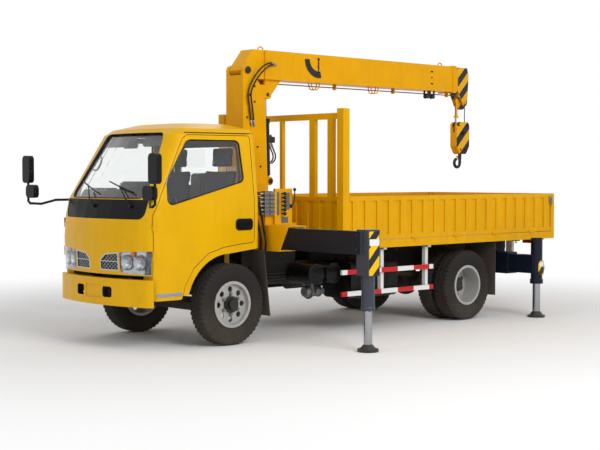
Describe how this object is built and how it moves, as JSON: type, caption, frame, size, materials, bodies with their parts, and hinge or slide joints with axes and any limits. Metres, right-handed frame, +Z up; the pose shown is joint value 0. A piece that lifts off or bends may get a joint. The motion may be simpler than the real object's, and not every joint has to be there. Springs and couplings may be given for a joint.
{
  "type": "truck with loading crane",
  "caption": "Light cab-over truck with a drop-side cargo bed and a slewing telescopic crane on outriggers behind the cab.",
  "frame": {"origin": "middle of the truck's plan at ground level", "axes": "+X towards the cab's front, +Y to the left, +Z up"},
  "size_m": [5.989, 4.156, 2.91],
  "materials": {
    "frame": "satin chassis black",
    "cast": "rough cast",
    "drive": "oily cast",
    "tank": "satin black",
    "guard": "red and white bands",
    "flap": "matt",
    "cab_paint": "gloss yellow",
    "cowl": "gloss black",
    "lamp": "clear lens over a bright bowl",
    "grille": "grey",
    "glass": "tinted",
    "trim": "dark grey",
    "mirror_black": "black",
    "bed_paint": "yellow",
    "crane_paint": "yellow",
    "navy": "dark blue",
    "valve": "machined",
    "tyre": "black",
    "rim": "silver",
    "chrome": "hard chrome",
    "rope": "wire rope",
    "hook_steel": "forged"
  },
  "bodies": {
    "chassis": {"frame_rails": "frame", "cross_members": "frame", "axles": "cast", "leaf_springs": "cast", "driveline": "drive", "tanks": "tank", "guards": "guard", "mud_flaps": "flap", "cab_shell": "cab_paint", "cowl_panel": "cowl", "bumper": "cab_paint", "lamps": "lamp", "grilles": "grille", "cab_glass": "glass", "cab_interior": "trim", "mirrors": "mirror_black", "bed_floor": "bed_paint", "bed_bearers": "frame", "head_frame": "bed_paint", "crane_base": "crane_paint", "rear_jack_boxes": "navy", "control_stations": "valve"},
    "left_knuckle": {"left_knuckle": "cast"},
    "right_knuckle": {"right_knuckle": "cast"},
    "front_left_wheel": {"front_left_tyre": "tyre", "front_left_wheel": "rim"},
    "front_right_wheel": {"front_right_tyre": "tyre", "front_right_wheel": "rim"},
    "rear_left_wheels": {"rear_left_tyres": "tyre", "rear_left_wheels": "rim"},
    "rear_right_wheels": {"rear_right_tyres": "tyre", "rear_right_wheels": "rim"},
    "left_door": {"left_door": "cab_paint", "left_door_glass": "glass"},
    "right_door": {"right_door": "cab_paint", "right_door_glass": "glass"},
    "left_board": {"left_board": "bed_paint"},
    "right_board": {"right_board": "bed_paint"},
    "tail_board": {"tail_board": "bed_paint"},
    "front_left_beam": {"front_left_beam": "navy"},
    "front_right_beam": {"front_right_beam": "navy"},
    "rear_left_beam": {"rear_left_beam": "navy"},
    "rear_right_beam": {"rear_right_beam": "navy"},
    "front_left_jack": {"front_left_jack": "chrome"},
    "front_right_jack": {"front_right_jack": "chrome"},
    "rear_left_jack": {"rear_left_jack": "chrome"},
    "rear_right_jack": {"rear_right_jack": "chrome"},
    "column": {"column": "crane_paint"},
    "boom_outer": {"boom_outer": "crane_paint", "hoist_rope": "rope"},
    "boom_middle": {"boom_middle": "crane_paint"},
    "boom_inner": {"boom_inner": "crane_paint"},
    "lift_barrel": {"lift_barrel": "crane_paint"},
    "lift_rod": {"lift_rod": "chrome"},
    "hook_block": {"hook_block": "crane_paint", "rope_falls": "rope"},
    "hook": {"hook": "hook_steel"}
  },
  "joints": [
    {"name": "left_steer", "type": "hinge", "parent": "chassis", "child": "left_knuckle", "pos_m": [1.8845, 0.62, 0.3875], "axis": [0, 0, 1], "range_deg": [-32, 32]},
    {"name": "front_left_spin", "type": "hinge", "parent": "left_knuckle", "child": "front_left_wheel", "pos_m": [1.8845, 0.723, 0.3875], "axis": [0, 1, 0], "continuous": true},
    {"name": "rear_left_spin", "type": "hinge", "parent": "chassis", "child": "rear_left_wheels", "pos_m": [-1.4235, 0.728, 0.3875], "axis": [0, 1, 0], "continuous": true},
    {"name": "left_door_hinge", "type": "hinge", "parent": "chassis", "child": "left_door", "pos_m": [2.7441, 0.73, 1], "axis": [0, 0, -1], "range_deg": [0, 65]},
    {"name": "left_board_hinge", "type": "hinge", "parent": "chassis", "child": "left_board", "pos_m": [-1.2155, 0.99, 0.948], "axis": [-1, 0, 0], "range_deg": [0, 90]},
    {"name": "front_left_beam_slide", "type": "slide", "parent": "chassis", "child": "front_left_beam", "axis": [0, -1, 0], "range_m": [0, 0.85]},
    {"name": "front_left_jack_slide", "type": "slide", "parent": "front_left_beam", "child": "front_left_jack", "axis": [0, 0, 1], "range_m": [0, 0.3]},
    {"name": "rear_left_beam_slide", "type": "slide", "parent": "chassis", "child": "rear_left_beam", "axis": [0, -1, 0], "range_m": [0, 0.22]},
    {"name": "rear_left_jack_slide", "type": "slide", "parent": "rear_left_beam", "child": "rear_left_jack", "axis": [0, 0, 1], "range_m": [0, 0.3]},
    {"name": "right_steer", "type": "hinge", "parent": "chassis", "child": "right_knuckle", "pos_m": [1.8845, -0.62, 0.3875], "axis": [0, 0, 1], "range_deg": [-32, 32]},
    {"name": "front_right_spin", "type": "hinge", "parent": "right_knuckle", "child": "front_right_wheel", "pos_m": [1.8845, -0.723, 0.3875], "axis": [0, 1, 0], "continuous": true},
    {"name": "rear_right_spin", "type": "hinge", "parent": "chassis", "child": "rear_right_wheels", "pos_m": [-1.4235, -0.728, 0.3875], "axis": [0, 1, 0], "continuous": true},
    {"name": "right_door_hinge", "type": "hinge", "parent": "chassis", "child": "right_door", "pos_m": [2.7441, -0.73, 1], "axis": [0, 0, 1], "range_deg": [0, 65]},
    {"name": "right_board_hinge", "type": "hinge", "parent": "chassis", "child": "right_board", "pos_m": [-1.2155, -0.99, 0.948], "axis": [1, 0, 0], "range_deg": [0, 90]},
    {"name": "front_right_beam_slide", "type": "slide", "parent": "chassis", "child": "front_right_beam", "axis": [0, 1, 0], "range_m": [0, 0.85]},
    {"name": "front_right_jack_slide", "type": "slide", "parent": "front_right_beam", "child": "front_right_jack", "axis": [0, 0, 1], "range_m": [0, 0.3]},
    {"name": "rear_right_beam_slide", "type": "slide", "parent": "chassis", "child": "rear_right_beam", "axis": [0, 1, 0], "range_m": [0, 0.22]},
    {"name": "rear_right_jack_slide", "type": "slide", "parent": "rear_right_beam", "child": "rear_right_jack", "axis": [0, 0, 1], "range_m": [0, 0.3]},
    {"name": "tail_board_hinge", "type": "hinge", "parent": "chassis", "child": "tail_board", "pos_m": [-2.9855, 0, 0.948], "axis": [0, -1, 0], "range_deg": [0, 170]},
    {"name": "slew", "type": "hinge", "parent": "chassis", "child": "column", "pos_m": [1.0045, 0, 1.5], "axis": [0, 0, 1], "continuous": true},
    {"name": "luff", "type": "hinge", "parent": "column", "child": "boom_outer", "pos_m": [1.1205, 0, 2.68], "axis": [0, 1, 0], "range_deg": [0, 75]},
    {"name": "telescope_middle", "type": "slide", "parent": "boom_outer", "child": "boom_middle", "axis": [-1, 0, 0], "range_m": [0, 2.2]},
    {"name": "telescope_inner", "type": "slide", "parent": "boom_middle", "child": "boom_inner", "axis": [-1, 0, 0], "range_m": [0, 2.2]},
    {"name": "lift_barrel_pin", "type": "hinge", "parent": "column", "child": "lift_barrel", "pos_m": [0.7605, 0, 1.549], "axis": [0, 1, 0], "range_deg": [-0.5, 1]},
    {"name": "lift_rod_slide", "type": "slide", "parent": "lift_barrel", "child": "lift_rod", "axis": [0.0268, 0, 0.9996], "range_m": [0, 0.52]},
    {"name": "hook_swing", "type": "hinge", "parent": "boom_inner", "child": "hook_block", "pos_m": [-2.3905, 0, 2.48], "axis": [0, 1, 0], "range_deg": [-76, 1]},
    {"name": "hook_swivel", "type": "hinge", "parent": "hook_block", "child": "hook", "pos_m": [-2.3905, 0, 1.8], "axis": [0, 0, 1], "continuous": true}
  ],
  "couplings": [
    {"joint": "right_steer", "follows": "left_steer", "ratio": 1},
    {"joint": "lift_barrel_pin", "follows": "luff", "ratio": 0.00476},
    {"joint": "lift_rod_slide", "follows": "luff", "m_per_rad": 0.38136},
    {"joint": "hook_swing", "follows": "luff", "ratio": -1},
    {"joint": "telescope_inner", "follows": "telescope_middle", "ratio": 1}
  ]
}
